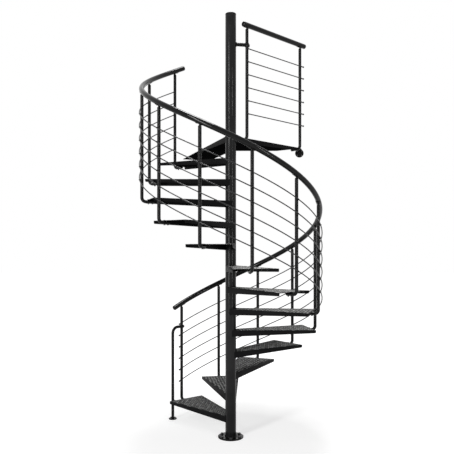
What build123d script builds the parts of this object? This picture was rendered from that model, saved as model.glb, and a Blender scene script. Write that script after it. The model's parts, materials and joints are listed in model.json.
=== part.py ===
from build123d import *
from math import atan, ceil, cos, degrees, pi, radians, sin
import os

# Spiral staircase of 1.6 m diameter: thirteen winder treads on a central pole, a landing at the
# top, a handrail on thirteen balusters with six infill rods, and a guard on the landing's open edge.
# Millimetres, +Z up. The origin is the centre of the underside of the base flange, on the pole's
# axis. Angles are seen from above, anticlockwise from +X; the stair climbs clockwise.

# ---- rise and turn ----
tread_count = 13
riser = 202.0                 # from one tread's top to the next, and to the landing's top
tread_turn = 28.8             # degrees that one tread takes
landing_gap = 17.6            # degrees from the last tread's rear edge on to the landing's front edge
baluster_lead = 1.4           # degrees from the lowest tread's middle towards its front edge
baluster_drift = 0.7          # degrees that each next baluster moves towards its tread's rear edge

# ---- pole ----
pole_diameter = 101.6
pole_joint_above_landing = 180.0
pole_top_above_landing = 1160.0
cap_height = 14.0
cap_round = 9.0

# ---- base flange ----
flange_diameter = 240.0
flange_thickness = 12.0
flange_bolt_circle = 190.0
flange_bolt_count = 6
flange_bolt_hole = 18.0
flange_bolt_start = 30.0      # direction of the first hole

# ---- treads and landing, folded from plate ----
plate_thickness = 4.0
lip_thickness = 4.0
tread_radius = 800.0          # from the axis to a tread's outer corners
lip_depth_at_pole = 58.0      # from the top of the plate
lip_depth_at_end = 27.0
lip_end_round = 12.0

# ---- landing ----
landing_depth = 820.0         # from the axis to the far edge
landing_front_angle = 109.5   # direction of the edge that the last tread meets
landing_front_lip = 790.0     # how far the front edge has its lip
tongue_reach = 1560.0         # how far the front edge runs on, over the upper floor
tongue_width = 335.0
guard_angle = 44.5            # direction of the guarded edge
corner_setback = 165.8        # from the far edge's line to the outer corner, along Y
corner_cut = 240.0            # from the end of the far edge to the outer corner, along X

# ---- tubes and rods ----
rail_diameter = 48.3
rail_outset = 30.0            # from a tread's outer corners to the centres of handrail and balusters
rail_height = 993.0           # handrail centre above a tread's top, at the baluster
rail_lower_run_on = 6.5       # degrees of handrail past the first baluster
rail_upper_run_on = 7.5       # degrees of handrail past the last baluster
rail_splice_baluster = 5      # the two lengths of handrail meet past this baluster
rail_splice_past = 6.5        # degrees past it
rail_splice_gap = 0.3
baluster_diameter = 30.0
baluster_bend = 36.0          # bend radius on the centre line
baluster_leg = 112.0          # from the baluster's axis to the end of its leg, under the plate
neck_diameter = 15.0
neck_length = 20.0
rod_diameter = 10.0
rod_count = 6
first_rod_height = 178.0      # above a tread's top, at the baluster
rod_pitch = 120.0
rod_run_on = 16.0             # of each rod past the first and the last baluster
rod_gap = 0.1                 # between a rod and the outer side of the baluster that it lies on
longest_arc = 15.0            # degrees that one bent arc of a rail or rod may span
leg_clearance = 0.4           # radial, where a guard post's leg passes through the landing's lip
seat_clearance = 0.3          # radial, where a neck, a tie or the brace meets a round tube

# ---- landing guard ----
guard_offset = 36.0           # from the plate's edge out to the guard's line
guard_inner_post = 130.0      # along the guarded edge from its end at the pole
guard_post_inset = 60.0       # from the outer corner back to the outer post
guard_rail_height = 1062.0    # rail centre above the landing's top
guard_rail_run_in = 45.0      # of the rail past the inner post
guard_rail_run_out = 70.0     # of the rail past the outer post
guard_first_rod = 219.0       # above the landing's top
guard_rod_pitch = 123.0
guard_rod_run_in = 12.0       # of the rods past the inner post
guard_rod_run_out = 30.0      # of the rods past the outer post
tie_diameter = 33.7
tie_height = 873.0            # above the landing's top

# ---- landing anchor, a flange against the edge of the upper floor ----
anchor_diameter = 92.0
anchor_thickness = 8.0
anchor_outset = 3.8           # centre outside the landing's outer corner, along X
anchor_drop = 30.0            # centre below the landing's top
anchor_tab_width = 56.0
anchor_tab_thickness = 6.0
anchor_tab_grip = 40.0        # how far the tab reaches in under the landing, along the guarded edge
anchor_tab_nose = 20.0        # how far the tab stands out past the outer corner
anchor_tab_inset = 6.0        # of the tab's nose from the guarded edge's line
anchor_tab_root = 15.0        # of the tab's root from the guarded edge's line
anchor_bolt_circle = 66.0
anchor_bolt_count = 4
anchor_bolt_hole = 9.0
anchor_bolt_start = 45.0

# ---- brace at the foot of the stair ----
brace_lag = 5.0               # degrees from the lowest tread's front edge to the brace
brace_height = 748.0          # centre of its top run above the lowest tread's top
brace_bend = 60.0
brace_foot_diameter = 84.0
brace_foot_thickness = 8.0
brace_foot_bolt_circle = 60.0
brace_foot_bolt_count = 4
brace_foot_bolt_hole = 9.0
brace_foot_bolt_start = 45.0
brace_lug_width = 30.0
brace_lug_thickness = 6.0
brace_lug_grip = 55.0         # how far the lug reaches in under the lowest tread

# ---- derived sizes ----
pole_radius = pole_diameter / 2
first_nosing_angle = landing_front_angle + landing_gap + tread_turn * tread_count - 360
first_baluster_angle = first_nosing_angle - tread_turn / 2 + baluster_lead
baluster_turn = tread_turn + baluster_drift
rail_radius = tread_radius + rail_outset
landing_height = riser * (tread_count + 1)
pole_joint = landing_height + pole_joint_above_landing
pole_top = landing_height + pole_top_above_landing
rail_pitch = riser * 360 / baluster_turn            # height gained in a full turn
rod_offset = (baluster_diameter + rod_diameter) / 2 + rod_gap
neck_top = rail_diameter / 2 + neck_length
underside = plate_thickness + baluster_diameter / 2  # leg's centre below a plate's top
pole_cut = 3 * lip_depth_at_pole                     # tall enough to clear a plate and its lips

os.makedirs("parts", exist_ok=True)


def heading(angle, elevation=0.0):
    """Unit vector at an angle seen from above, raised by an elevation."""
    level = cos(radians(elevation))
    return Vector(cos(radians(angle)) * level, sin(radians(angle)) * level, sin(radians(elevation)))


def upright_plane(foot, angle):
    """A vertical plane through a point: its X runs along the heading and its Y runs up."""
    return Plane(origin=foot, x_dir=heading(angle), z_dir=heading(angle - 90))


def save(part, name):
    """Label a finished part and write it."""
    part.label = name
    export_step(part, f"parts/{name}.step")


def tread_top(number):
    return riser * number


def baluster_angle(number):
    return first_baluster_angle - baluster_turn * (number - 1)


def slope(radius):
    """Elevation of whatever climbs with the handrail at a distance from the axis."""
    return degrees(atan(rail_pitch / (2 * pi * radius)))


def climbing_point(angle, radius, height_at_first):
    """A point that climbs with the handrail, from its height at the first baluster."""
    climbed = rail_pitch * (first_baluster_angle - angle) / 360
    return Vector(0, 0, height_at_first + climbed) + heading(angle) * radius


def climbing_bar(start_angle, end_angle, radius, height_at_first, diameter):
    """A round bar bent clockwise round the axis as it climbs: a chain of short arcs, each tangent
    to the one before, with their ends on one helix."""
    steps = ceil((start_angle - end_angle) / longest_arc)
    turns = [start_angle + (end_angle - start_angle) * step / steps for step in range(steps + 1)]
    points = [climbing_point(turn, radius, height_at_first) for turn in turns]
    with BuildPart() as bar:
        with BuildLine() as path:
            arc = TangentArc(points[0], points[1], tangent=heading(start_angle - 90, slope(radius)))
            for point in points[2:]:
                arc = TangentArc(arc @ 1, point, tangent=arc % 1)
        with BuildSketch(Plane(origin=path.line @ 0, z_dir=path.line % 0)):
            Circle(diameter / 2)
        sweep(path=path.line)
    return bar.part


def lip(foot, angle, length, inward):
    """A folded edge that hangs from a plate: deep at the pole, shallow with a round end outside."""
    with BuildPart() as fold:
        with BuildSketch(upright_plane(foot, angle)) as side:
            with BuildLine():
                Polyline((0, -plate_thickness), (length, -plate_thickness), (length, -lip_depth_at_end),
                         (0, -lip_depth_at_pole), close=True)
            make_face()
            lowest_outer_corner = side.vertices().group_by(Axis.X)[-1].sort_by(Axis.Y)[0]
            fillet(lowest_outer_corner, lip_end_round)
        extrude(amount=lip_thickness * inward)
    return fold.part


# ---- base flange ----
with BuildPart() as base_flange:
    with BuildSketch():
        Circle(flange_diameter / 2)
        with PolarLocations(flange_bolt_circle / 2, flange_bolt_count, start_angle=flange_bolt_start):
            Circle(flange_bolt_hole / 2, mode=Mode.SUBTRACT)
    extrude(amount=flange_thickness)
save(base_flange.part, "base_flange")

# ---- pole: two lengths and a cap ----
with BuildPart() as pole_lower:
    with BuildSketch(Plane.XY.offset(flange_thickness)):
        Circle(pole_radius)
    extrude(amount=pole_joint - flange_thickness)
save(pole_lower.part, "pole_lower")

with BuildPart() as pole_upper:
    with BuildSketch(Plane.XY.offset(pole_joint)):
        Circle(pole_radius)
    extrude(amount=pole_top - cap_height - pole_joint)
save(pole_upper.part, "pole_upper")

with BuildPart() as pole_cap:
    with BuildSketch(Plane.XY.offset(pole_top - cap_height)):
        Circle(pole_radius)
    extrude(amount=cap_height)
    fillet(pole_cap.edges().sort_by(Axis.Z)[-1], cap_round)
save(pole_cap.part, "pole_cap")

# ---- treads: a wedge of plate with a lip down each side, welded to the pole ----
half_turn = tread_turn / 2
corner_x = tread_radius * cos(radians(half_turn))
corner_y = tread_radius * sin(radians(half_turn))
edge_skew = degrees(atan((corner_y - pole_radius) / corner_x))
edge_length = corner_x / cos(radians(edge_skew))
for number in range(1, tread_count + 1):
    top = tread_top(number)
    middle = first_nosing_angle - tread_turn * (number - 0.5)
    front_foot = Vector(0, 0, top) + heading(middle + 90) * pole_radius
    back_foot = Vector(0, 0, top) + heading(middle - 90) * pole_radius
    front_lip = lip(front_foot, middle + edge_skew, edge_length, 1)
    back_lip = lip(back_foot, middle - edge_skew, edge_length, -1)
    plate_plane = Plane(origin=(0, 0, top - plate_thickness), x_dir=heading(middle), z_dir=(0, 0, 1))
    with BuildPart() as tread:
        with BuildSketch(plate_plane):
            with BuildLine():
                Polyline((0, -pole_radius), (corner_x, -corner_y), (corner_x, corner_y),
                         (0, pole_radius), close=True)
            make_face()
        extrude(amount=plate_thickness)
        add(front_lip)
        add(back_lip)
        with Locations((0, 0, top)):
            Cylinder(pole_radius, pole_cut, mode=Mode.SUBTRACT)
    save(tread.part, f"tread_{number:02d}")

# ---- landing: a plate from the pole to the upper floor, with a tongue over the floor ----
landing_level = Vector(0, 0, landing_height)
front_foot = heading(landing_front_angle + 90) * pole_radius
guard_foot = heading(guard_angle - 90) * pole_radius
tongue_front = front_foot + heading(landing_front_angle) * tongue_reach
tongue_back = tongue_front + heading(landing_front_angle - 90) * tongue_width
tongue_run = (tongue_back.Y - landing_depth) / sin(radians(landing_front_angle))
tongue_root = tongue_back - heading(landing_front_angle) * tongue_run
guard_along = heading(guard_angle)
guard_outward = heading(guard_angle - 90)
guard_edge = (landing_depth - corner_setback - guard_foot.Y) / guard_along.Y
outer_corner = guard_foot + guard_along * guard_edge
far_edge_end = Vector(outer_corner.X - corner_cut, landing_depth, 0)
guard_span = guard_edge - guard_post_inset - guard_inner_post
guard_line = landing_level + guard_foot + guard_outward * guard_offset
inner_foot = guard_line + guard_along * guard_inner_post
outer_foot = inner_foot + guard_along * guard_span
front_lip = lip(landing_level + front_foot, landing_front_angle, landing_front_lip, 1)
guard_lip = lip(landing_level + guard_foot, guard_angle, guard_edge, -1)
with BuildPart() as landing:
    with BuildSketch(Plane.XY.offset(landing_height - plate_thickness)):
        with BuildLine():
            Polyline((0, 0), front_foot, tongue_front, tongue_back, tongue_root,
                     far_edge_end, outer_corner, guard_foot, close=True)
        make_face()
    extrude(amount=plate_thickness)
    add(front_lip)
    add(guard_lip)
    for foot in (inner_foot, outer_foot):
        with BuildSketch(Plane(origin=foot - Vector(0, 0, underside), z_dir=guard_outward)):
            Circle(baluster_diameter / 2 + leg_clearance)
        extrude(amount=-baluster_leg, mode=Mode.SUBTRACT)
    with Locations(landing_level):
        Cylinder(pole_radius, pole_cut, mode=Mode.SUBTRACT)
save(landing.part, "landing")

# ---- handrail: two lengths that meet end to end ----
rail_start = first_baluster_angle + rail_lower_run_on
rail_end = baluster_angle(tread_count) - rail_upper_run_on
rail_at_first = tread_top(1) + rail_height
splice_gap = degrees(rail_splice_gap / rail_radius)
upper_start = baluster_angle(rail_splice_baluster) - rail_splice_past
lower_end = upper_start + splice_gap
handrail_lower = climbing_bar(rail_start, lower_end, rail_radius, rail_at_first, rail_diameter)
handrail_upper = climbing_bar(upper_start, rail_end, rail_radius, rail_at_first, rail_diameter)
save(handrail_lower, "handrail_lower")
save(handrail_upper, "handrail_upper")

# ---- infill rods: each runs unbroken along the outer side of all the balusters ----
rod_heights = [tread_top(1) + first_rod_height + rod_pitch * row for row in range(rod_count)]
rod_radius = rail_radius + rod_offset
rod_run_on_angle = degrees(rod_run_on / rod_radius)
rod_start = first_baluster_angle + rod_run_on_angle
rod_end = baluster_angle(tread_count) - rod_run_on_angle
for row, height in enumerate(rod_heights, start=1):
    save(climbing_bar(rod_start, rod_end, rod_radius, height, rod_diameter), f"infill_rod_{row}")


def post(foot, angle, rail_centre, rail_direction):
    """A tube that stands outside a plate's edge, from a point level with the plate's top: its foot
    bends in under the plate and its neck carries the rail."""
    tube_top = rail_centre - neck_top
    with BuildPart() as stem:
        with BuildLine(upright_plane(foot, angle)) as path:
            FilletPolyline((-baluster_leg, -underside), (0, -underside), (0, tube_top),
                           radius=baluster_bend)
        with BuildSketch(Plane(origin=path.line @ 0, z_dir=path.line % 0)):
            Circle(baluster_diameter / 2)
        sweep(path=path.line)
        with BuildSketch(Plane(origin=foot + Vector(0, 0, tube_top), z_dir=(0, 0, 1))):
            Circle(neck_diameter / 2)
        extrude(amount=neck_top)
        with BuildSketch(Plane(origin=foot + Vector(0, 0, rail_centre), z_dir=rail_direction)):
            Circle(rail_diameter / 2 + seat_clearance)
        extrude(amount=rail_diameter, both=True, mode=Mode.SUBTRACT)
    return stem.part


# ---- balusters: one to a tread ----
for number in range(1, tread_count + 1):
    angle = baluster_angle(number)
    foot = Vector(0, 0, tread_top(number)) + heading(angle) * rail_radius
    baluster = post(foot, angle, rail_height, heading(angle - 90, slope(rail_radius)))
    save(baluster, f"baluster_{number:02d}")

# ---- landing guard: two posts, a rail, straight rods and a tie to the pole ----
save(post(inner_foot, guard_angle - 90, guard_rail_height, guard_along), "guard_post_inner")
save(post(outer_foot, guard_angle - 90, guard_rail_height, guard_along), "guard_post_outer")

rail_root = inner_foot + Vector(0, 0, guard_rail_height) - guard_along * guard_rail_run_in
with BuildPart() as guard_rail:
    with BuildSketch(Plane(origin=rail_root, z_dir=guard_along)):
        Circle(rail_diameter / 2)
    extrude(amount=guard_rail_run_in + guard_span + guard_rail_run_out)
save(guard_rail.part, "guard_rail")

rod_line = inner_foot + guard_outward * rod_offset - guard_along * guard_rod_run_in
with BuildPart() as guard_infill:
    for row in range(rod_count):
        height = guard_first_rod + guard_rod_pitch * row
        with BuildSketch(Plane(origin=rod_line + Vector(0, 0, height), z_dir=guard_along)):
            Circle(rod_diameter / 2)
        extrude(amount=guard_rod_run_in + guard_span + guard_rod_run_out)
save(guard_infill.part, "guard_infill")

tie_run = Vector(inner_foot.X, inner_foot.Y, 0)
tie_plane = Plane(origin=landing_level + Vector(0, 0, tie_height), z_dir=tie_run)
with BuildPart() as guard_tie:
    with BuildSketch(tie_plane):
        Circle(tie_diameter / 2)
    extrude(amount=tie_run.length)
    with Locations(landing_level + Vector(0, 0, tie_height)):
        Cylinder(pole_radius + seat_clearance, 2 * tie_diameter, mode=Mode.SUBTRACT)
    with Locations(inner_foot + Vector(0, 0, tie_height)):
        Cylinder(baluster_diameter / 2 + seat_clearance, 2 * tie_diameter, mode=Mode.SUBTRACT)
save(guard_tie.part, "guard_tie")

# ---- landing anchor: a flange against the edge of the upper floor, on a tab under the landing ----
anchor_x = outer_corner.X + anchor_outset
anchor_seat = Vector(anchor_x, landing_depth, landing_height - anchor_drop)
anchor_face = landing_depth - anchor_thickness
tab_level = landing_height - plate_thickness - anchor_tab_thickness
tab_nose = outer_corner + guard_along * anchor_tab_nose - guard_outward * anchor_tab_inset
tab_root = outer_corner - guard_along * anchor_tab_grip - guard_outward * anchor_tab_root
with BuildPart() as landing_anchor:
    with BuildSketch(Plane(origin=anchor_seat, z_dir=(0, -1, 0))):
        Circle(anchor_diameter / 2)
        with PolarLocations(anchor_bolt_circle / 2, anchor_bolt_count, start_angle=anchor_bolt_start):
            Circle(anchor_bolt_hole / 2, mode=Mode.SUBTRACT)
    extrude(amount=anchor_thickness)
    with BuildSketch(Plane.XY.offset(tab_level)):
        with BuildLine():
            Polyline((anchor_x - anchor_tab_width / 2, anchor_face),
                     (anchor_x + anchor_tab_width / 2, anchor_face),
                     tab_nose, tab_root, tab_root - guard_outward * anchor_tab_grip, close=True)
        make_face()
    extrude(amount=anchor_tab_thickness)
save(landing_anchor.part, "landing_anchor")

# ---- brace: from its own foot up past the lowest tread's corner to the first baluster ----
brace_angle = first_nosing_angle - brace_lag
brace_foot_point = heading(brace_angle) * rail_radius
first_foot = heading(baluster_angle(1)) * rail_radius
brace_run = first_foot - brace_foot_point
brace_top = tread_top(1) + brace_height
lug_root = brace_foot_point + Vector(0, 0, tread_top(1) - plate_thickness)
lug_length = rail_radius - corner_x + brace_lug_grip
brace_plane = Plane(origin=brace_foot_point, x_dir=brace_run, z_dir=brace_run.cross(Vector(0, 0, 1)))
with BuildPart() as brace_post:
    with BuildLine(brace_plane) as path:
        FilletPolyline((0, brace_foot_thickness), (0, brace_top), (brace_run.length, brace_top),
                       radius=brace_bend)
    with BuildSketch(Plane(origin=path.line @ 0, z_dir=path.line % 0)):
        Circle(baluster_diameter / 2)
    sweep(path=path.line)
    with Locations(first_foot + Vector(0, 0, brace_top)):
        Cylinder(baluster_diameter / 2 + seat_clearance, 2 * baluster_diameter, mode=Mode.SUBTRACT)
    with BuildSketch(Plane(origin=lug_root, x_dir=heading(brace_angle), z_dir=(0, 0, -1))):
        Rectangle(lug_length, brace_lug_width, align=(Align.MAX, Align.CENTER))
    extrude(amount=brace_lug_thickness)
save(brace_post.part, "brace_post")

foot_holes = PolarLocations(brace_foot_bolt_circle / 2, brace_foot_bolt_count, brace_foot_bolt_start)
with BuildPart() as brace_foot:
    with BuildSketch(Plane(origin=brace_foot_point, z_dir=(0, 0, 1))):
        Circle(brace_foot_diameter / 2)
        with foot_holes:
            Circle(brace_foot_bolt_hole / 2, mode=Mode.SUBTRACT)
    extrude(amount=brace_foot_thickness)
save(brace_foot.part, "brace_foot")
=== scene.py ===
import json
from math import atan, cos, degrees, pi, radians, sin

import bpy
from mathutils import Matrix, Vector


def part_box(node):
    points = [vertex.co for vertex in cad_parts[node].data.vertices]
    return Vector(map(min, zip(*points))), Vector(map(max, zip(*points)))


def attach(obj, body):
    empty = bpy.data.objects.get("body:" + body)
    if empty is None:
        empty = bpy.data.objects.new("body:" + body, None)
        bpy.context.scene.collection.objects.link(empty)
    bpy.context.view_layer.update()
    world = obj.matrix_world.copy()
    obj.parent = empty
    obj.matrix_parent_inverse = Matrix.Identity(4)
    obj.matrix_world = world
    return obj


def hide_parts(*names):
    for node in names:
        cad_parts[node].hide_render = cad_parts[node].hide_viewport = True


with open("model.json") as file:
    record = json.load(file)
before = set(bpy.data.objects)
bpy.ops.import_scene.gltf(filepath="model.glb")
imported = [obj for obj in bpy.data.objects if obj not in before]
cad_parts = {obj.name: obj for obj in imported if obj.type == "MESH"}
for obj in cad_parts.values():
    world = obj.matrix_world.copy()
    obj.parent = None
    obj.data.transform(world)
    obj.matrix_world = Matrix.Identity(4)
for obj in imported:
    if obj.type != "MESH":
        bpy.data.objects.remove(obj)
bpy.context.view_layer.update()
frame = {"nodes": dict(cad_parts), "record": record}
nodes = frame["nodes"]
record = frame["record"]
bpy.ops.object.select_all(action="DESELECT")


# ---- Base flange ----
# A round steel plate on the floor that carries the pole. It is welded round the pole's foot, coated
# with the same satin black powder as the whole frame, and held down by six anchor bolts.
def powder_coat(name, colour, roughness, peel_size, peel_depth, specular=0.5,
                patch_scale=7.0, patch_detail=4.0, patch_span=(0.35, 0.7), patch_tones=(0.75, 1.3)):
    """A baked coat: its cured skin is slightly pebbled and its gloss varies in soft patches."""
    gloss_swing = 0.05
    coat = bpy.data.materials.new(name)
    coat.use_nodes = True
    tree = coat.node_tree
    shader = tree.nodes["Principled BSDF"]
    place = tree.nodes.new("ShaderNodeTexCoord")
    patches = tree.nodes.new("ShaderNodeTexNoise")
    patches.inputs["Scale"].default_value = patch_scale
    patches.inputs["Detail"].default_value = patch_detail
    tree.links.new(place.outputs["Object"], patches.inputs["Vector"])
    tone = tree.nodes.new("ShaderNodeValToRGB")
    for index in range(2):
        tone.color_ramp.elements[index].position = patch_span[index]
        tone.color_ramp.elements[index].color = (*(patch_tones[index] * part for part in colour), 1)
    tree.links.new(patches.outputs["Fac"], tone.inputs["Fac"])
    tree.links.new(tone.outputs["Color"], shader.inputs["Base Color"])
    gloss = tree.nodes.new("ShaderNodeMapRange")
    gloss.inputs["To Min"].default_value = roughness - gloss_swing
    gloss.inputs["To Max"].default_value = roughness + gloss_swing
    tree.links.new(patches.outputs["Fac"], gloss.inputs["Value"])
    tree.links.new(gloss.outputs["Result"], shader.inputs["Roughness"])
    peel = tree.nodes.new("ShaderNodeTexNoise")
    peel.inputs["Scale"].default_value = 1 / peel_size
    peel.inputs["Detail"].default_value = 2.0
    tree.links.new(place.outputs["Object"], peel.inputs["Vector"])
    skin = tree.nodes.new("ShaderNodeBump")
    skin.inputs["Strength"].default_value = 0.35
    skin.inputs["Distance"].default_value = peel_depth
    tree.links.new(peel.outputs["Fac"], skin.inputs["Height"])
    tree.links.new(skin.outputs["Normal"], shader.inputs["Normal"])
    shader.inputs["Specular IOR Level"].default_value = specular
    return coat


def coat_over(piece, coat):
    """Puts one coat on a piece or a node, in place of whatever it had."""
    piece.data.materials.clear()
    piece.data.materials.append(coat)


def finish_piece(piece, coat):
    """Gives a finished piece its coat and its place on the stair."""
    coat_over(piece, coat)
    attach(piece, "root")
    piece.select_set(False)


def deselect():
    bpy.ops.object.select_all(action="DESELECT")


def only(piece):
    """Makes a piece the one that the next operator works on."""
    deselect()
    piece.select_set(True)
    bpy.context.view_layer.objects.active = piece


def settle(piece):
    """Puts a piece's turn, size and place into its mesh."""
    only(piece)
    bpy.ops.object.transform_apply(location=True, rotation=True, scale=True)


def round_edges(piece, width, segments=3, limit=35):
    """Rounds a piece's sharp edges and shades it smooth up to a corner."""
    only(piece)
    rounding = piece.modifiers.new("Rounding", "BEVEL")
    rounding.width = width
    rounding.segments = segments
    rounding.limit_method = "ANGLE"
    rounding.angle_limit = radians(limit)
    bpy.ops.object.modifier_apply(modifier=rounding.name)
    bpy.ops.object.shade_smooth_by_angle(angle=radians(limit))


def round_bar(name, radius, depth, centre, sides=64):
    """A short round bar on the Z axis."""
    deselect()
    bpy.ops.mesh.primitive_cylinder_add(vertices=sides, radius=radius, depth=depth, location=centre)
    bar = bpy.context.object
    bar.name = name
    settle(bar)
    return bar


def joined(name, pieces):
    """Joins loose pieces into one."""
    deselect()
    for piece in pieces:
        piece.select_set(True)
    bpy.context.view_layer.objects.active = pieces[0]
    bpy.ops.object.join()
    whole = bpy.context.object
    whole.name = name
    return whole


def copied(piece, name, place):
    """A copy of a piece with its own mesh, moved to another place."""
    twin = piece.copy()
    twin.data = piece.data.copy()
    twin.name = name
    bpy.context.scene.collection.objects.link(twin)
    twin.data.transform(place)
    return twin


def discard(piece):
    bpy.data.objects.remove(piece)


def eased(node, width, limit=35):
    """A node's own shape with its hard edges eased, as a folded or cut plate has them."""
    solid = copied(nodes[node], node + "_eased", Matrix())
    solid.parent = None
    for key in list(solid.keys()):
        del solid[key]
    only(solid)
    bpy.ops.object.mode_set(mode="EDIT")
    bpy.ops.mesh.select_all(action="SELECT")
    bpy.ops.mesh.remove_doubles(threshold=0.00002)
    bpy.ops.mesh.dissolve_limited(angle_limit=radians(1))
    bpy.ops.object.mode_set(mode="OBJECT")
    solid.data.normals_split_custom_set([(0, 0, 0)] * len(solid.data.loops))
    round_edges(solid, width, limit=limit)
    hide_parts(node)
    return solid


frame_coat = powder_coat("satin_black_frame_coat", (0.004, 0.004, 0.0041), 0.22, 0.0012, 0.00006, 0.11)

base = eased("base_flange", 0.0018)
finish_piece(base, frame_coat)

flange_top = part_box("base_flange")[1].z
bead_sides = 8
ripple_waist = 0.82


def weld_bead(name, radius, height, ripples):
    """A ring of weld on the Z axis, with the ripples that a hand-held torch leaves."""
    deselect()
    bpy.ops.mesh.primitive_torus_add(major_segments=2 * ripples, minor_segments=bead_sides,
                                     major_radius=radius, minor_radius=height, location=(0, 0, 0))
    bead = bpy.context.object
    bead.name = name
    for vertex in bead.data.vertices:
        if vertex.index // bead_sides % 2:
            spoke = Vector((vertex.co.x, vertex.co.y, 0)).normalized() * radius
            vertex.co = spoke + (vertex.co - spoke) * ripple_waist
    bpy.ops.object.shade_smooth()
    return bead


pole_radius = 0.0508
foot_weld = weld_bead("base_weld", pole_radius + 0.001, 0.0055, 60)
foot_weld.data.transform(Matrix.Translation((0, 0, flange_top + 0.001)))
finish_piece(foot_weld, frame_coat)

bolt_coat = powder_coat("black_zinc_bolt", (0.02, 0.02, 0.022), 0.28, 0.0008, 0.00004)
squarely = 0.9


def hex_bolt(name, across, head, washer, washer_thickness):
    """A hexagon head with a chamfered crown, on its washer. It stands on the origin."""
    seat = round_bar("washer", washer, washer_thickness, (0, 0, washer_thickness / 2), 40)
    round_edges(seat, washer_thickness * 0.25, 2)
    deselect()
    bpy.ops.mesh.primitive_cylinder_add(vertices=6, radius=across / 2 / cos(pi / 6), depth=head,
                                        location=(0, 0, washer_thickness + head / 2))
    hexagon = bpy.context.object
    settle(hexagon)
    bpy.ops.object.mode_set(mode="EDIT")
    bpy.ops.mesh.select_all(action="DESELECT")
    bpy.ops.object.mode_set(mode="OBJECT")
    for face in hexagon.data.polygons:
        face.select = face.normal.z > squarely
    bpy.ops.object.mode_set(mode="EDIT")
    bpy.ops.mesh.inset(thickness=across * 0.07)
    bpy.ops.transform.translate(value=(0, 0, head * 0.1))
    bpy.ops.mesh.inset(thickness=across * 0.08)
    bpy.ops.transform.translate(value=(0, 0, -head * 0.05))
    bpy.ops.object.mode_set(mode="OBJECT")
    round_edges(hexagon, across * 0.02, 2, 25)
    return joined(name, [seat, hexagon])


bolts = next(mount for mount in record["mounts"] if mount["name"] == "base_bolts")["dims"]
anchor_bolt = hex_bolt("anchor_bolt", 0.024, 0.010, 0.015, 0.003)
first_bolt = radians(30)
spanner_drift = 1.7
for index in range(bolts["count"]):
    turn = first_bolt + 2 * pi * index / bolts["count"]
    spot = Vector((cos(turn), sin(turn), 0)) * bolts["pcd_mm"] / 2000 + Vector((0, 0, flange_top))
    bolt = copied(anchor_bolt, f"base_bolt_{index + 1}",
                  Matrix.Translation(spot) @ Matrix.Rotation(turn * spanner_drift, 4, "Z"))
    finish_piece(bolt, bolt_coat)
discard(anchor_bolt)


# ---- Pole ----
# Two lengths of 101.6 mm steel tube that meet in a fine eased joint above the landing, with a turned
# cap on top. The tubes carry every tread, so they are one straight line from the flange up.
pole_coat = powder_coat("satin_black_pole_coat", (0.01, 0.01, 0.0103), 0.2, 0.0016, 0.00005, 0.12)
pole_sides = 128


def pole_length(node, name):
    """A round bar as thick as the pole, in the place of a node."""
    low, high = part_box(node)
    return round_bar(name, pole_radius, high.z - low.z, (0, 0, (low.z + high.z) / 2), pole_sides)


for node in ("pole_lower", "pole_upper"):
    tube = pole_length(node, node + "_tube")
    round_edges(tube, 0.0012)
    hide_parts(node)
    finish_piece(tube, pole_coat)

cap = pole_length("pole_cap", "pole_end_cap")
for face in cap.data.polygons:
    face.select = face.normal.z > squarely
bpy.ops.object.mode_set(mode="EDIT")
bpy.ops.mesh.bevel(offset=0.009, segments=6)
bpy.ops.object.mode_set(mode="OBJECT")
round_edges(cap, 0.0008, 2, 50)
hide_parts("pole_cap")
finish_piece(cap, pole_coat)


# ---- Treads ----
# Thirteen wedges of 4 mm checker plate, folded down along both edges and welded to the pole. Their
# folds and cut corners are eased, and raised lozenges in two directions give them grip.
tread_count = 13
riser = 0.202
tread_turn = 28.8
first_nosing = 141.5
tread_radius = 0.8
plate_coat = powder_coat("satin_black_plate_coat", (0.0035, 0.0035, 0.0038), 0.6, 0.0011, 0.00007, 0.06)
# Painted sheen: the plate's top is about ten times lighter than its folds, standing for the light that the
# upward faces catch.
painted_sheen_top_coat = powder_coat("black_plate_top_painted_sheen", (0.038, 0.038, 0.0385), 0.6, 0.0011, 0.00009, 0.01)
# Painted shade: the underside keeps the plate's black but loses all gloss, so it renders dark as if in
# shade.
painted_shade_underside_coat = powder_coat("black_underside_painted_shade", (0.004, 0.004, 0.0043), 0.6, 0.0011, 0.00007, 0.0)
# Painted highlight together with wear: the raised lozenges are light grey, far lighter than the plate, for
# the glints they catch and their rubbed tops; the patches only vary their tone at random.
lozenge_wear_and_highlight_coat = powder_coat("lozenge_wear_and_painted_highlight", (0.4, 0.4, 0.396), 0.5, 0.0009, 0.00004, 0.04,
                           patch_scale=30.0, patch_detail=0.0, patch_span=(0.4, 0.6),
                           patch_tones=(0.5, 1.0))
lozenge_pitch = 0.030
lozenge_length = 0.042
lozenge_width = 0.0145
lozenge_height = 0.0018
lozenge_sink = 0.0002
lozenge_corners = 8
lozenge_margin = 0.015


def coat_sides(plate):
    """Gives a plate's top a lighter coat, which is painted sheen for the light that upward faces catch, and
    its underside the same black without gloss, which is painted shade.
    """
    plate.data.materials.append(painted_sheen_top_coat)
    plate.data.materials.append(painted_shade_underside_coat)
    for face in plate.data.polygons:
        # Upward faces take the painted sheen, downward faces the painted shade.
        if face.normal.z > squarely:
            face.material_index = 1
        elif face.normal.z < -squarely:
            face.material_index = 2


def lozenge(centre, turn):
    """One raised lozenge, pointed at both ends and flat on top."""
    deselect()
    bpy.ops.mesh.primitive_cone_add(vertices=4, radius1=0.5, radius2=0.3, depth=1, rotation=(0, 0, turn),
                                    location=(*centre, lozenge_height / 2 - lozenge_sink))
    raised = bpy.context.object
    raised.scale = (lozenge_length, lozenge_width, lozenge_height + 2 * lozenge_sink)
    settle(raised)
    return raised


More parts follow.
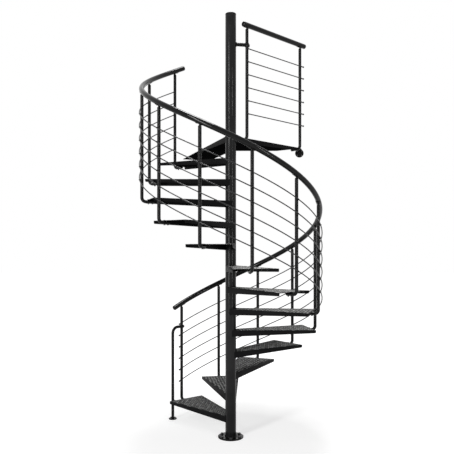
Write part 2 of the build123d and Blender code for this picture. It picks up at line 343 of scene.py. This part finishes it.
def checker(name, outline, turn):
    """Lozenges over the inside of an outline, kept clear of its edges and turned to its own line."""
    ahead = Matrix.Rotation(-turn, 2)
    corners = [ahead @ Vector(corner) for corner in outline]
    low = Vector((min(c.x for c in corners), min(c.y for c in corners)))
    high = Vector((max(c.x for c in corners), max(c.y for c in corners)))
    step = 2 * lozenge_pitch
    first = [lozenge((low.x, low.y), pi / 4), lozenge((low.x + lozenge_pitch, low.y), -pi / 4),
             lozenge((low.x, low.y + lozenge_pitch), -pi / 4),
             lozenge((low.x + lozenge_pitch, low.y + lozenge_pitch), pi / 4)]
    field = joined(name, first)
    for way, reach in (((step, 0, 0), high.x - low.x), ((0, step, 0), high.y - low.y)):
        rows = field.modifiers.new("Rows", "ARRAY")
        rows.use_relative_offset = False
        rows.use_constant_offset = True
        rows.constant_offset_displace = way
        rows.count = int(reach / step) + 1
        bpy.ops.object.modifier_apply(modifier=rows.name)
    bpy.ops.object.mode_set(mode="EDIT")
    bpy.ops.mesh.select_all(action="DESELECT")
    bpy.ops.object.mode_set(mode="OBJECT")
    sides = [(corners[i], corners[(i + 1) % len(corners)]) for i in range(len(corners))]
    points = [vertex.co for vertex in field.data.vertices]
    for first_point in range(0, len(points), lozenge_corners):
        own_points = range(first_point, first_point + lozenge_corners)
        middle = sum((points[i] for i in own_points), Vector()) / lozenge_corners
        spot = Vector((middle.x, middle.y))
        crossings = 0
        clearances = [spot.length - pole_radius]
        for start, end in sides:
            along = end - start
            share = max(0.0, min(1.0, (spot - start).dot(along) / along.length_squared))
            clearances.append((start + along * share - spot).length)
            if (start.y > spot.y) != (end.y > spot.y):
                crossings += spot.x < start.x + along.x * (spot.y - start.y) / along.y
        outside = crossings % 2 == 0 or min(clearances) < lozenge_margin
        for i in own_points:
            field.data.vertices[i].select = outside
    bpy.ops.object.mode_set(mode="EDIT")
    bpy.ops.mesh.delete(type="VERT")
    bpy.ops.object.mode_set(mode="OBJECT")
    field.data.transform(Matrix.Rotation(turn, 4, "Z"))
    return field


half_turn = radians(tread_turn / 2)
corner_x = tread_radius * cos(half_turn)
corner_y = tread_radius * sin(half_turn)
wedge = [(0, -pole_radius), (corner_x, -corner_y), (corner_x, corner_y), (0, pole_radius)]
tread_checker = checker("tread_checker", wedge, 0)

deselect()
bpy.ops.mesh.primitive_torus_add(major_segments=96, minor_segments=bead_sides, minor_radius=0.004,
                                 major_radius=pole_radius + 0.0005, location=(0, 0, 0))
tread_weld = bpy.context.object
for vertex in tread_weld.data.vertices:
    if vertex.index // bead_sides % 2:
        spoke = Vector((vertex.co.x, vertex.co.y, 0)).normalized() * pole_radius
        vertex.co = spoke + (vertex.co - spoke) * 0.8
weld_start = 0.012
bpy.ops.object.mode_set(mode="EDIT")
bpy.ops.mesh.select_all(action="SELECT")
bpy.ops.mesh.bisect(plane_co=(weld_start, 0, 0), plane_no=(1, 0, 0), clear_inner=True, use_fill=True)
bpy.ops.object.mode_set(mode="OBJECT")
bpy.ops.object.shade_smooth_by_angle(angle=radians(50))

for number in range(1, tread_count + 1):
    middle = radians(first_nosing - tread_turn * (number - 0.5))
    place = Matrix.Translation((0, 0, riser * number)) @ Matrix.Rotation(middle, 4, "Z")
    plate = eased(f"tread_{number:02d}", 0.0014)
    finish_piece(plate, plate_coat)
    coat_sides(plate)
    grip = copied(tread_checker, f"tread_{number:02d}_checker", place)
    finish_piece(grip, lozenge_wear_and_highlight_coat)
    bead = copied(tread_weld, f"tread_{number:02d}_weld", place)
    finish_piece(bead, plate_coat)
discard(tread_checker)
discard(tread_weld)


# ---- Landing ----
# One folded sheet of the same checker plate, from the pole to the upper floor. Its front edge and
# guarded edge have tapered lips, and a tongue runs on over the floor beside the stairhead.
landing_height = riser * (tread_count + 1)
landing_front = radians(109.5)
guard_angle = radians(44.5)


def heading(angle):
    return Vector((cos(angle), sin(angle), 0))


front_foot = heading(landing_front + pi / 2) * pole_radius
guard_foot = heading(guard_angle - pi / 2) * pole_radius
landing_depth = 0.82
tongue_length = 1.56
tongue_width = 0.335
cut_corner_depth = 0.1658
cut_corner_width = 0.24
tongue_front = front_foot + heading(landing_front) * tongue_length
tongue_back = tongue_front + heading(landing_front - pi / 2) * tongue_width
tongue_root = tongue_back - heading(landing_front) * (tongue_back.y - landing_depth) / sin(landing_front)
guard_edge = (landing_depth - cut_corner_depth - guard_foot.y) / sin(guard_angle)
outer_corner = guard_foot + heading(guard_angle) * guard_edge
far_corner = Vector((outer_corner.x - cut_corner_width, landing_depth, 0))
plate = eased("landing", 0.0014)
finish_piece(plate, plate_coat)
coat_sides(plate)
landing_outline = [point.to_2d() for point in (front_foot, tongue_front, tongue_back, tongue_root,
                                               far_corner, outer_corner, guard_foot)]
grip = checker("landing_checker", landing_outline, landing_front)
grip.data.transform(Matrix.Translation((0, 0, landing_height)))
finish_piece(grip, lozenge_wear_and_highlight_coat)
landing_weld = weld_bead("landing_weld", pole_radius + 0.0005, 0.004, 60)
landing_weld.data.transform(Matrix.Translation((0, 0, landing_height)))
finish_piece(landing_weld, plate_coat)


# ---- Handrail ----
# A 48.3 mm tube bent round the stair in two lengths, coated a little glossier than the frame. A
# turned collar hides where they meet, and domed caps close both ends.
rail_coat = powder_coat("semi_gloss_black_rail_coat", (0.003, 0.003, 0.0031), 0.14, 0.0016, 0.00005, 0.15)
rail_tube_radius = 0.02415
rail_radius = 0.83
rail_height = 0.993
first_baluster = 128.5
baluster_turn = 29.5
last_baluster = first_baluster - (tread_count - 1) * baluster_turn
rail_lead = 6.5
rail_run_on = 7.5
splice_angle = first_baluster - 4 * baluster_turn - 6.5
rail_pitch = riser * 360 / baluster_turn

for node in ("handrail_lower", "handrail_upper", "guard_rail"):
    coat_over(nodes[node], rail_coat)


def climbing_place(angle, radius, height):
    """Where a thing sits that climbs with the handrail: X up along it, Y outwards, Z square to both."""
    climbed = rail_pitch * (first_baluster - angle) / 360
    outward = heading(radians(angle))
    rise = atan(rail_pitch / (2 * pi * radius))
    ahead = heading(radians(angle - 90)) * cos(rise) + Vector((0, 0, sin(rise)))
    up = ahead.cross(outward)
    spot = outward * radius + Vector((0, 0, riser + height + climbed))
    return Matrix((
        (ahead.x, outward.x, up.x, spot.x), (ahead.y, outward.y, up.y, spot.y),
        (ahead.z, outward.z, up.z, spot.z), (0, 0, 0, 1)))


deselect()
bpy.ops.mesh.primitive_uv_sphere_add(segments=48, ring_count=24, radius=rail_tube_radius,
                                     location=(0, 0, 0), rotation=(0, radians(90), 0))
end_cap = bpy.context.object
settle(end_cap)
end_cap.scale = (0.5, 1, 1)
settle(end_cap)
bpy.ops.object.mode_set(mode="EDIT")
bpy.ops.mesh.select_all(action="SELECT")
bpy.ops.mesh.bisect(plane_co=(0, 0, 0), plane_no=(1, 0, 0), clear_inner=True, use_fill=True)
bpy.ops.object.mode_set(mode="OBJECT")
for face in end_cap.data.polygons:
    face.select = face.normal.x < -squarely
bpy.ops.object.mode_set(mode="EDIT")
bpy.ops.mesh.extrude_region_move(TRANSFORM_OT_translate={"value": (-0.004, 0, 0)})
bpy.ops.object.mode_set(mode="OBJECT")
bpy.ops.object.shade_smooth_by_angle(angle=radians(40))

backwards = Matrix.Rotation(pi, 4, "Z")
rail_start = climbing_place(first_baluster + rail_lead, rail_radius, rail_height)
rail_end = climbing_place(last_baluster - rail_run_on, rail_radius, rail_height)
for name, place in (("handrail_cap_lower", rail_start @ backwards), ("handrail_cap_upper", rail_end)):
    finish_piece(copied(end_cap, name, place), rail_coat)

splice = round_bar("handrail_splice_collar", rail_tube_radius + 0.0011, 0.012, (0, 0, 0), 96)
round_edges(splice, 0.001, 3)
splice.data.transform(climbing_place(splice_angle, rail_radius, rail_height)
                      @ Matrix.Rotation(radians(90), 4, "Y"))
finish_piece(splice, rail_coat)


# ---- Balusters ----
# A 30 mm tube to each tread. Its top is domed round a slim neck that ends in a saddle screwed under
# the handrail, and its bent foot is bolted through the tread from below.
baluster_radius = 0.015
neck_drop = rail_tube_radius + 0.020

tread_bolt_rows = (0.058, 0.094)
nut_bite = 0.0008

for number in range(1, tread_count + 1):
    coat_over(nodes[f"baluster_{number:02d}"], frame_coat)

deselect()
bpy.ops.mesh.primitive_uv_sphere_add(segments=48, ring_count=24, radius=baluster_radius, location=(0, 0, 0))
dome = bpy.context.object
bpy.ops.object.mode_set(mode="EDIT")
bpy.ops.mesh.select_all(action="SELECT")
bpy.ops.mesh.bisect(plane_co=(0, 0, 0), plane_no=(0, 0, 1), clear_inner=True, use_fill=True)
bpy.ops.object.mode_set(mode="OBJECT")
dome.scale = (1, 1, 0.72)
settle(dome)
bpy.ops.object.shade_smooth_by_angle(angle=radians(40))

deselect()
saddle_length = 0.064
saddle_screw_at = 0.022
bpy.ops.mesh.primitive_cylinder_add(vertices=96, radius=rail_tube_radius, depth=saddle_length,
                                    end_fill_type="NOTHING", location=(0, 0, 0),
                                    rotation=(0, radians(90), 0))
saddle = bpy.context.object
settle(saddle)
saddle_edge = -0.62 * rail_tube_radius
bpy.ops.object.mode_set(mode="EDIT")
bpy.ops.mesh.select_all(action="SELECT")
bpy.ops.mesh.bisect(plane_co=(0, 0, saddle_edge), plane_no=(0, 0, 1), clear_outer=True)
bpy.ops.object.mode_set(mode="OBJECT")
strap = saddle.modifiers.new("Strap", "SOLIDIFY")
strap.thickness = 0.003
strap.offset = 1
bpy.ops.object.modifier_apply(modifier=strap.name)
round_edges(saddle, 0.0009, 2)
saddle_screws = []
for side in (-saddle_screw_at, saddle_screw_at):
    screw = round_bar("saddle_screw", 0.0042, 0.0036, (side, 0, -rail_tube_radius - 0.0038), 24)
    round_edges(screw, 0.0014, 3)
    saddle_screws.append(screw)
saddle = joined("rail_saddle", [saddle, *saddle_screws])

tread_bolt = round_bar("tread_bolt", 0.0085, 0.0034, (0, 0, 0.0014), 32)
round_edges(tread_bolt, 0.0024, 4)
tread_nut = hex_bolt("tread_nut", 0.013, 0.0065, 0.008, 0.0016)
tread_nut.data.transform(Matrix.Rotation(pi, 4, "X"))
plate_thickness = 0.004
leg_underside = plate_thickness + 2 * baluster_radius

for number in range(1, tread_count + 1):
    angle = first_baluster - baluster_turn * (number - 1)
    outward = heading(radians(angle))
    rail_place = climbing_place(angle, rail_radius, rail_height)
    top = rail_place.translation - Vector((0, 0, neck_drop))
    shoulder = copied(dome, f"baluster_{number:02d}_shoulder", Matrix.Translation(top))
    finish_piece(shoulder, frame_coat)
    seat = copied(saddle, f"baluster_{number:02d}_saddle", rail_place)
    finish_piece(seat, frame_coat)
    tread_level = Vector((0, 0, riser * number))
    turned = Matrix.Rotation(radians(angle), 4, "Z")
    fixings = []
    for inward in tread_bolt_rows:
        spot = outward * (rail_radius - inward) + tread_level
        fixings.append(copied(tread_bolt, "bolt", Matrix.Translation(spot) @ turned))
        spot = spot - Vector((0, 0, leg_underside - nut_bite))
        fixings.append(copied(tread_nut, "nut", Matrix.Translation(spot) @ turned))
    finish_piece(joined(f"baluster_{number:02d}_bolts", fixings), bolt_coat)
discard(tread_bolt)
discard(tread_nut)


# ---- Infill rods ----
# Six 10 mm rods run unbroken along the outer side of the balusters. At each one a small holder wraps
# the rod and is screwed into the tube, and a turned nut closes both ends of every rod.
rod_coat = powder_coat("satin_grey_black_rod_coat", (0.008, 0.008, 0.0085), 0.3, 0.001, 0.00003, 0.3)
rod_count = 6
rod_radius = 0.005
rod_clearance = 0.0001
rod_offset = baluster_radius + rod_radius + rod_clearance
rod_line = rail_radius + rod_offset
rod_run_on = 0.016
lowest_rod = 0.178
rod_spacing = 0.120
rod_heights = [lowest_rod + rod_spacing * row for row in range(rod_count)]
for row in range(1, rod_count + 1):
    coat_over(nodes[f"infill_rod_{row}"], rod_coat)
coat_over(nodes["guard_infill"], rod_coat)

sleeve = round_bar("sleeve", rod_radius + 0.0015, 0.014, (0, 0, 0), 32)
round_edges(sleeve, 0.0008, 2)
sleeve.data.transform(Matrix.Rotation(radians(90), 4, "Y"))
stem_inwards = 0.0065
screw_outwards = 0.0068
stem = round_bar("stem", 0.0042, 0.009, (0, 0, 0), 24)
stem.data.transform(Matrix.Translation((0, -stem_inwards, 0)) @ Matrix.Rotation(radians(90), 4, "X"))
screw = round_bar("screw", 0.0032, 0.004, (0, 0, 0), 24)
round_edges(screw, 0.0011, 3)
screw.data.transform(Matrix.Translation((0, screw_outwards, 0)) @ Matrix.Rotation(radians(90), 4, "X"))
holder = joined("rod_holder", [sleeve, stem, screw])

rod_nut = round_bar("rod_nut", 0.0080, 0.012, (0, 0, 0), 32)
round_edges(rod_nut, 0.0022, 4)
rod_nut.data.transform(Matrix.Rotation(radians(90), 4, "Y"))

for number in range(1, tread_count + 1):
    angle = first_baluster - baluster_turn * (number - 1)
    holders = [copied(holder, "holder", climbing_place(angle, rod_line, height)) for height in rod_heights]
    finish_piece(joined(f"baluster_{number:02d}_rod_holders", holders), frame_coat)

nut_turn = degrees(rod_run_on / rod_line)
for name, angle in (("rod_nuts_lower", first_baluster + nut_turn),
                    ("rod_nuts_upper", last_baluster - nut_turn)):
    nuts = [copied(rod_nut, "nut", climbing_place(angle, rod_line, height)) for height in rod_heights]
    finish_piece(joined(name, nuts), rod_coat)


# ---- Landing guard ----
# Two bent posts, a straight rail and six straight rods close the landing's open edge. The posts pass
# through the edge's lip and are bolted under the plate, and a tie holds the inner post to the pole.
guard_along = heading(guard_angle)
guard_outward = heading(guard_angle - pi / 2)
guard_rail_height = 1.062
post_stand_off = 0.036
inner_post_inset = 0.130
outer_post_inset = 0.060
inner_foot = guard_foot + guard_outward * post_stand_off + guard_along * inner_post_inset
outer_foot = inner_foot + guard_along * (guard_edge - outer_post_inset - inner_post_inset)
inner_rod_run_on = 0.012
outer_rod_run_on = 0.030
inner_rail_run_on = 0.045
outer_rail_run_on = 0.070
inner_rod_end = inner_foot - guard_along * inner_rod_run_on
outer_rod_end = outer_foot + guard_along * outer_rod_run_on
inner_rail_end = inner_foot - guard_along * inner_rail_run_on
outer_rail_end = outer_foot + guard_along * outer_rail_run_on
lowest_guard_rod = 0.219
guard_rod_spacing = 0.123
guard_rod_heights = [lowest_guard_rod + guard_rod_spacing * row for row in range(rod_count)]
for node in ("guard_post_inner", "guard_post_outer", "guard_tie"):
    coat_over(nodes[node], frame_coat)


def guard_place(foot, height):
    """Where a thing sits on the guard: X along its rail, Y outwards, Z up.

    These axes are left-handed, so what it places is mirrored and its faces point inwards.
    """
    spot = foot + Vector((0, 0, landing_height + height))
    return Matrix((
        (guard_along.x, guard_outward.x, 0, spot.x), (guard_along.y, guard_outward.y, 0, spot.y),
        (0, 0, 1, spot.z), (0, 0, 0, 1)))


for name, foot in (("inner", inner_foot), ("outer", outer_foot)):
    top = guard_place(foot, guard_rail_height - neck_drop)
    finish_piece(copied(dome, f"guard_post_{name}_shoulder", top), frame_coat)
    seat = copied(saddle, f"guard_post_{name}_saddle", guard_place(foot, guard_rail_height))
    finish_piece(seat, frame_coat)
    holders = [copied(holder, "holder", guard_place(foot + guard_outward * rod_offset, height))
               for height in guard_rod_heights]
    finish_piece(joined(f"guard_post_{name}_rod_holders", holders), frame_coat)
for name, spot in (("inner", inner_rod_end), ("outer", outer_rod_end)):
    nuts = [copied(rod_nut, "nut", guard_place(spot + guard_outward * rod_offset, height))
            for height in guard_rod_heights]
    finish_piece(joined(f"guard_rod_nuts_{name}", nuts), rod_coat)
for name, spot, turn in (("inner", inner_rail_end, backwards), ("outer", outer_rail_end, Matrix())):
    place = guard_place(spot, guard_rail_height) @ turn
    finish_piece(copied(end_cap, f"guard_rail_cap_{name}", place), rail_coat)
discard(dome)
discard(saddle)
discard(holder)
discard(rod_nut)
discard(end_cap)

tie_height = 0.873
tie_level = landing_height + tie_height
tie_ahead = Vector((inner_foot.x, inner_foot.y, 0)).normalized()
tie_turn = tie_ahead.to_track_quat("Z", "Y").to_matrix().to_4x4()
pole_collar = round_bar("tie_collar_pole", 0.0225, 0.008, (0, 0, pole_radius + 0.0015), 64)
round_edges(pole_collar, 0.002, 3)
pole_collar.data.transform(Matrix.Translation((0, 0, tie_level)) @ tie_turn)
finish_piece(pole_collar, frame_coat)


def tube_clamp(name, height, spot, ears_to):
    """A ring round an upright tube, drawn tight by a bolt through its two ears."""
    ring_radius = baluster_radius + 0.004
    ear_length = 0.016
    ear_thickness = 0.005
    ear_offset = 0.0032
    ear_reach = 0.004
    ear_shortfall = 0.010
    draw_bolt_reach = 0.005
    draw_bolt_seat = 0.0056
    ring = round_bar("ring", ring_radius, height, (0, 0, 0), 64)
    round_edges(ring, 0.0018, 3)
    pieces = [ring]
    for side in (-1, 1):
        deselect()
        bpy.ops.mesh.primitive_cube_add(size=1, location=(ring_radius + ear_reach, side * ear_offset, 0))
        ear = bpy.context.object
        ear.scale = (ear_length, ear_thickness, height - ear_shortfall)
        settle(ear)
        round_edges(ear, 0.0012, 2)
        pieces.append(ear)
    draw_bolt = hex_bolt("draw_bolt", 0.008, 0.004, 0.0055, 0.001)
    ear_face = Matrix.Translation((ring_radius + draw_bolt_reach, -draw_bolt_seat, 0))
    draw_bolt.data.transform(ear_face @ Matrix.Rotation(radians(90), 4, "X"))
    clamp = joined(name, [*pieces, draw_bolt])
    clamp.data.transform(Matrix.Translation(spot) @ Matrix.Rotation(ears_to, 4, "Z"))
    return clamp


post_clamp = tube_clamp("tie_clamp_post", 0.040, inner_foot + Vector((0, 0, tie_level)), guard_angle)
finish_piece(post_clamp, frame_coat)


# ---- Landing anchor ----
# A round flange bolted to the edge of the upper floor, on a tab that is bolted under the landing's
# outer corner. Four hexagon bolts hold the flange.
finish_piece(eased("landing_anchor", 0.0012), frame_coat)
anchor = next(mount for mount in record["mounts"] if mount["name"] == "landing_anchor_bolts")
anchor_ring = anchor["dims"]["pcd_mm"] / 2000
anchor_thickness = 0.008
wall_bolt = hex_bolt("wall_bolt", 0.013, 0.006, 0.0085, 0.0016)
outwards = Matrix.Rotation(radians(90), 4, "X")
wall_bolts = []
for index in range(anchor["dims"]["count"]):
    turn = radians(45 + 90 * index)
    spot = Vector((anchor["pos_m"][0] + anchor_ring * cos(turn), landing_depth - anchor_thickness,
                   anchor["pos_m"][2] + anchor_ring * sin(turn)))
    place = Matrix.Translation(spot) @ outwards @ Matrix.Rotation(turn, 4, "Z")
    wall_bolts.append(copied(wall_bolt, "bolt", place))
discard(wall_bolt)
finish_piece(joined("landing_anchor_bolts", wall_bolts), bolt_coat)


# ---- Brace ----
# A tube from its own foot on the floor, past the lowest tread's corner and over to the first
# baluster. A clamp holds it there, and its flanged foot is bolted down.
coat_over(nodes["brace_post"], frame_coat)
finish_piece(eased("brace_foot", 0.0016), frame_coat)
brace_low, brace_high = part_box("brace_foot")
brace_centre = (brace_low + brace_high) / 2
foot_bolt_ring = 0.030
clamp_height = 0.748
foot_bolt = hex_bolt("foot_bolt", 0.013, 0.006, 0.008, 0.0016)
foot_bolts = []
for index in range(4):
    turn = radians(45 + 90 * index)
    spot = Vector((brace_centre.x, brace_centre.y, brace_high.z)) + heading(turn) * foot_bolt_ring
    foot_bolts.append(copied(foot_bolt, "bolt", Matrix.Translation(spot) @ Matrix.Rotation(turn, 4, "Z")))
discard(foot_bolt)
finish_piece(joined("brace_foot_bolts", foot_bolts), bolt_coat)
brace_weld = weld_bead("brace_foot_weld", baluster_radius + 0.0005, 0.0028, 24)
brace_weld.data.transform(Matrix.Translation((brace_centre.x, brace_centre.y, brace_high.z)))
finish_piece(brace_weld, frame_coat)
clamp_spot = heading(radians(first_baluster)) * rail_radius + Vector((0, 0, riser + clamp_height))
brace_clamp = tube_clamp("brace_clamp", 0.034, clamp_spot, radians(first_baluster - 90))
finish_piece(brace_clamp, frame_coat)


# ---- Floor, light and camera ----
# A pale floor that keeps the stair's shadow, a white surround, soft lamps, and a level camera in
# front of the stair.
deselect()
bpy.ops.mesh.primitive_plane_add(size=60, location=(0, 0, 0))
floor = bpy.context.object
floor.name = "floor"
floor_finish = bpy.data.materials.new("pale_floor")
floor_finish.use_nodes = True
floor_tree = floor_finish.node_tree
floor_shader = floor_tree.nodes["Principled BSDF"]
floor_shader.inputs["Base Color"].default_value = (0.45, 0.45, 0.45, 1)
floor_shader.inputs["Roughness"].default_value = 1.0
floor_shader.inputs["Specular IOR Level"].default_value = 0.0
floor_glow = floor_tree.nodes.new("ShaderNodeEmission")
floor_place = floor_tree.nodes.new("ShaderNodeTexCoord")
floor_reach = floor_tree.nodes.new("ShaderNodeVectorMath")
floor_reach.operation = "LENGTH"
floor_tree.links.new(floor_place.outputs["Object"], floor_reach.inputs[0])
floor_fade = floor_tree.nodes.new("ShaderNodeMapRange")
floor_fade.interpolation_type = "SMOOTHSTEP"
floor_fade.inputs["From Min"].default_value = 0.8
floor_fade.inputs["From Max"].default_value = 3.2
floor_fade.inputs["To Min"].default_value = 0.7
floor_fade.inputs["To Max"].default_value = 1.0
floor_tree.links.new(floor_reach.outputs["Value"], floor_fade.inputs["Value"])
floor_tree.links.new(floor_fade.outputs["Result"], floor_glow.inputs["Strength"])
floor_seen = floor_tree.nodes.new("ShaderNodeAddShader")
floor_tree.links.new(floor_shader.outputs[0], floor_seen.inputs[0])
floor_tree.links.new(floor_glow.outputs[0], floor_seen.inputs[1])
floor_unseen = floor_tree.nodes.new("ShaderNodeBsdfDiffuse")
floor_unseen.inputs["Color"].default_value = (0.8, 0.8, 0.8, 1)
floor_choice = floor_tree.nodes.new("ShaderNodeMixShader")


def background_rays(tree):
    """1 for the rays that see the background: from the camera, a gloss or a clear thing."""
    rays = tree.nodes.new("ShaderNodeLightPath")
    direct = tree.nodes.new("ShaderNodeMath")
    direct.operation = "MAXIMUM"
    tree.links.new(rays.outputs["Is Camera Ray"], direct.inputs[0])
    tree.links.new(rays.outputs["Is Glossy Ray"], direct.inputs[1])
    either = tree.nodes.new("ShaderNodeMath")
    either.operation = "MAXIMUM"
    tree.links.new(direct.outputs[0], either.inputs[0])
    tree.links.new(rays.outputs["Is Transmission Ray"], either.inputs[1])
    return either.outputs[0]


floor_tree.links.new(background_rays(floor_tree), floor_choice.inputs["Fac"])
floor_tree.links.new(floor_unseen.outputs[0], floor_choice.inputs[1])
floor_tree.links.new(floor_seen.outputs[0], floor_choice.inputs[2])
floor_tree.links.new(floor_choice.outputs[0], floor_tree.nodes["Material Output"].inputs["Surface"])
floor.data.materials.append(floor_finish)

world = bpy.data.worlds.new("white_surround")
bpy.context.scene.world = world
world.use_nodes = True
surround_tree = world.node_tree
surround = surround_tree.nodes["Background"]
surround.inputs["Color"].default_value = (1, 1, 1, 1)
surround_strength = surround_tree.nodes.new("ShaderNodeMapRange")
surround_strength.inputs["To Min"].default_value = 0.16
surround_strength.inputs["To Max"].default_value = 1.0
surround_tree.links.new(background_rays(surround_tree), surround_strength.inputs["Value"])
surround_tree.links.new(surround_strength.outputs["Result"], surround.inputs["Strength"])


def soft_lamp(name, place, aim, width, height, power):
    """A large soft lamp that faces a point."""
    light = bpy.data.lights.new(name, "AREA")
    light.shape = "RECTANGLE"
    light.size = width
    light.size_y = height
    light.energy = power
    lamp = bpy.data.objects.new(name, light)
    bpy.context.scene.collection.objects.link(lamp)
    lamp.location = place
    lamp.rotation_euler = (Vector(aim) - Vector(place)).to_track_quat("-Z", "Y").to_euler()


soft_lamp("key_lamp", (-4.7, -5.8, 3.6), (0, 0, 2.0), 1.0, 6.4, 480)
soft_lamp("strip_lamp", (3.8, -5.2, 2.6), (0, 0, 2.0), 0.2, 4.6, 120)
soft_lamp("top_lamp", (0.0, 0.5, 7.5), (0, 0, 1.5), 1.8, 1.8, 330)

lens = bpy.data.cameras.new("camera")
camera = bpy.data.objects.new("camera", lens)
bpy.context.scene.collection.objects.link(camera)
bpy.context.scene.camera = camera
lens.lens = 46.4
lens.sensor_width = 36
lens.shift_x = -0.0082
lens.shift_y = 0.0363
camera.location = (0, -5.511, 1.823)
camera.rotation_euler = (radians(90), 0, 0)
bpy.context.scene.view_settings.view_transform = "Standard"
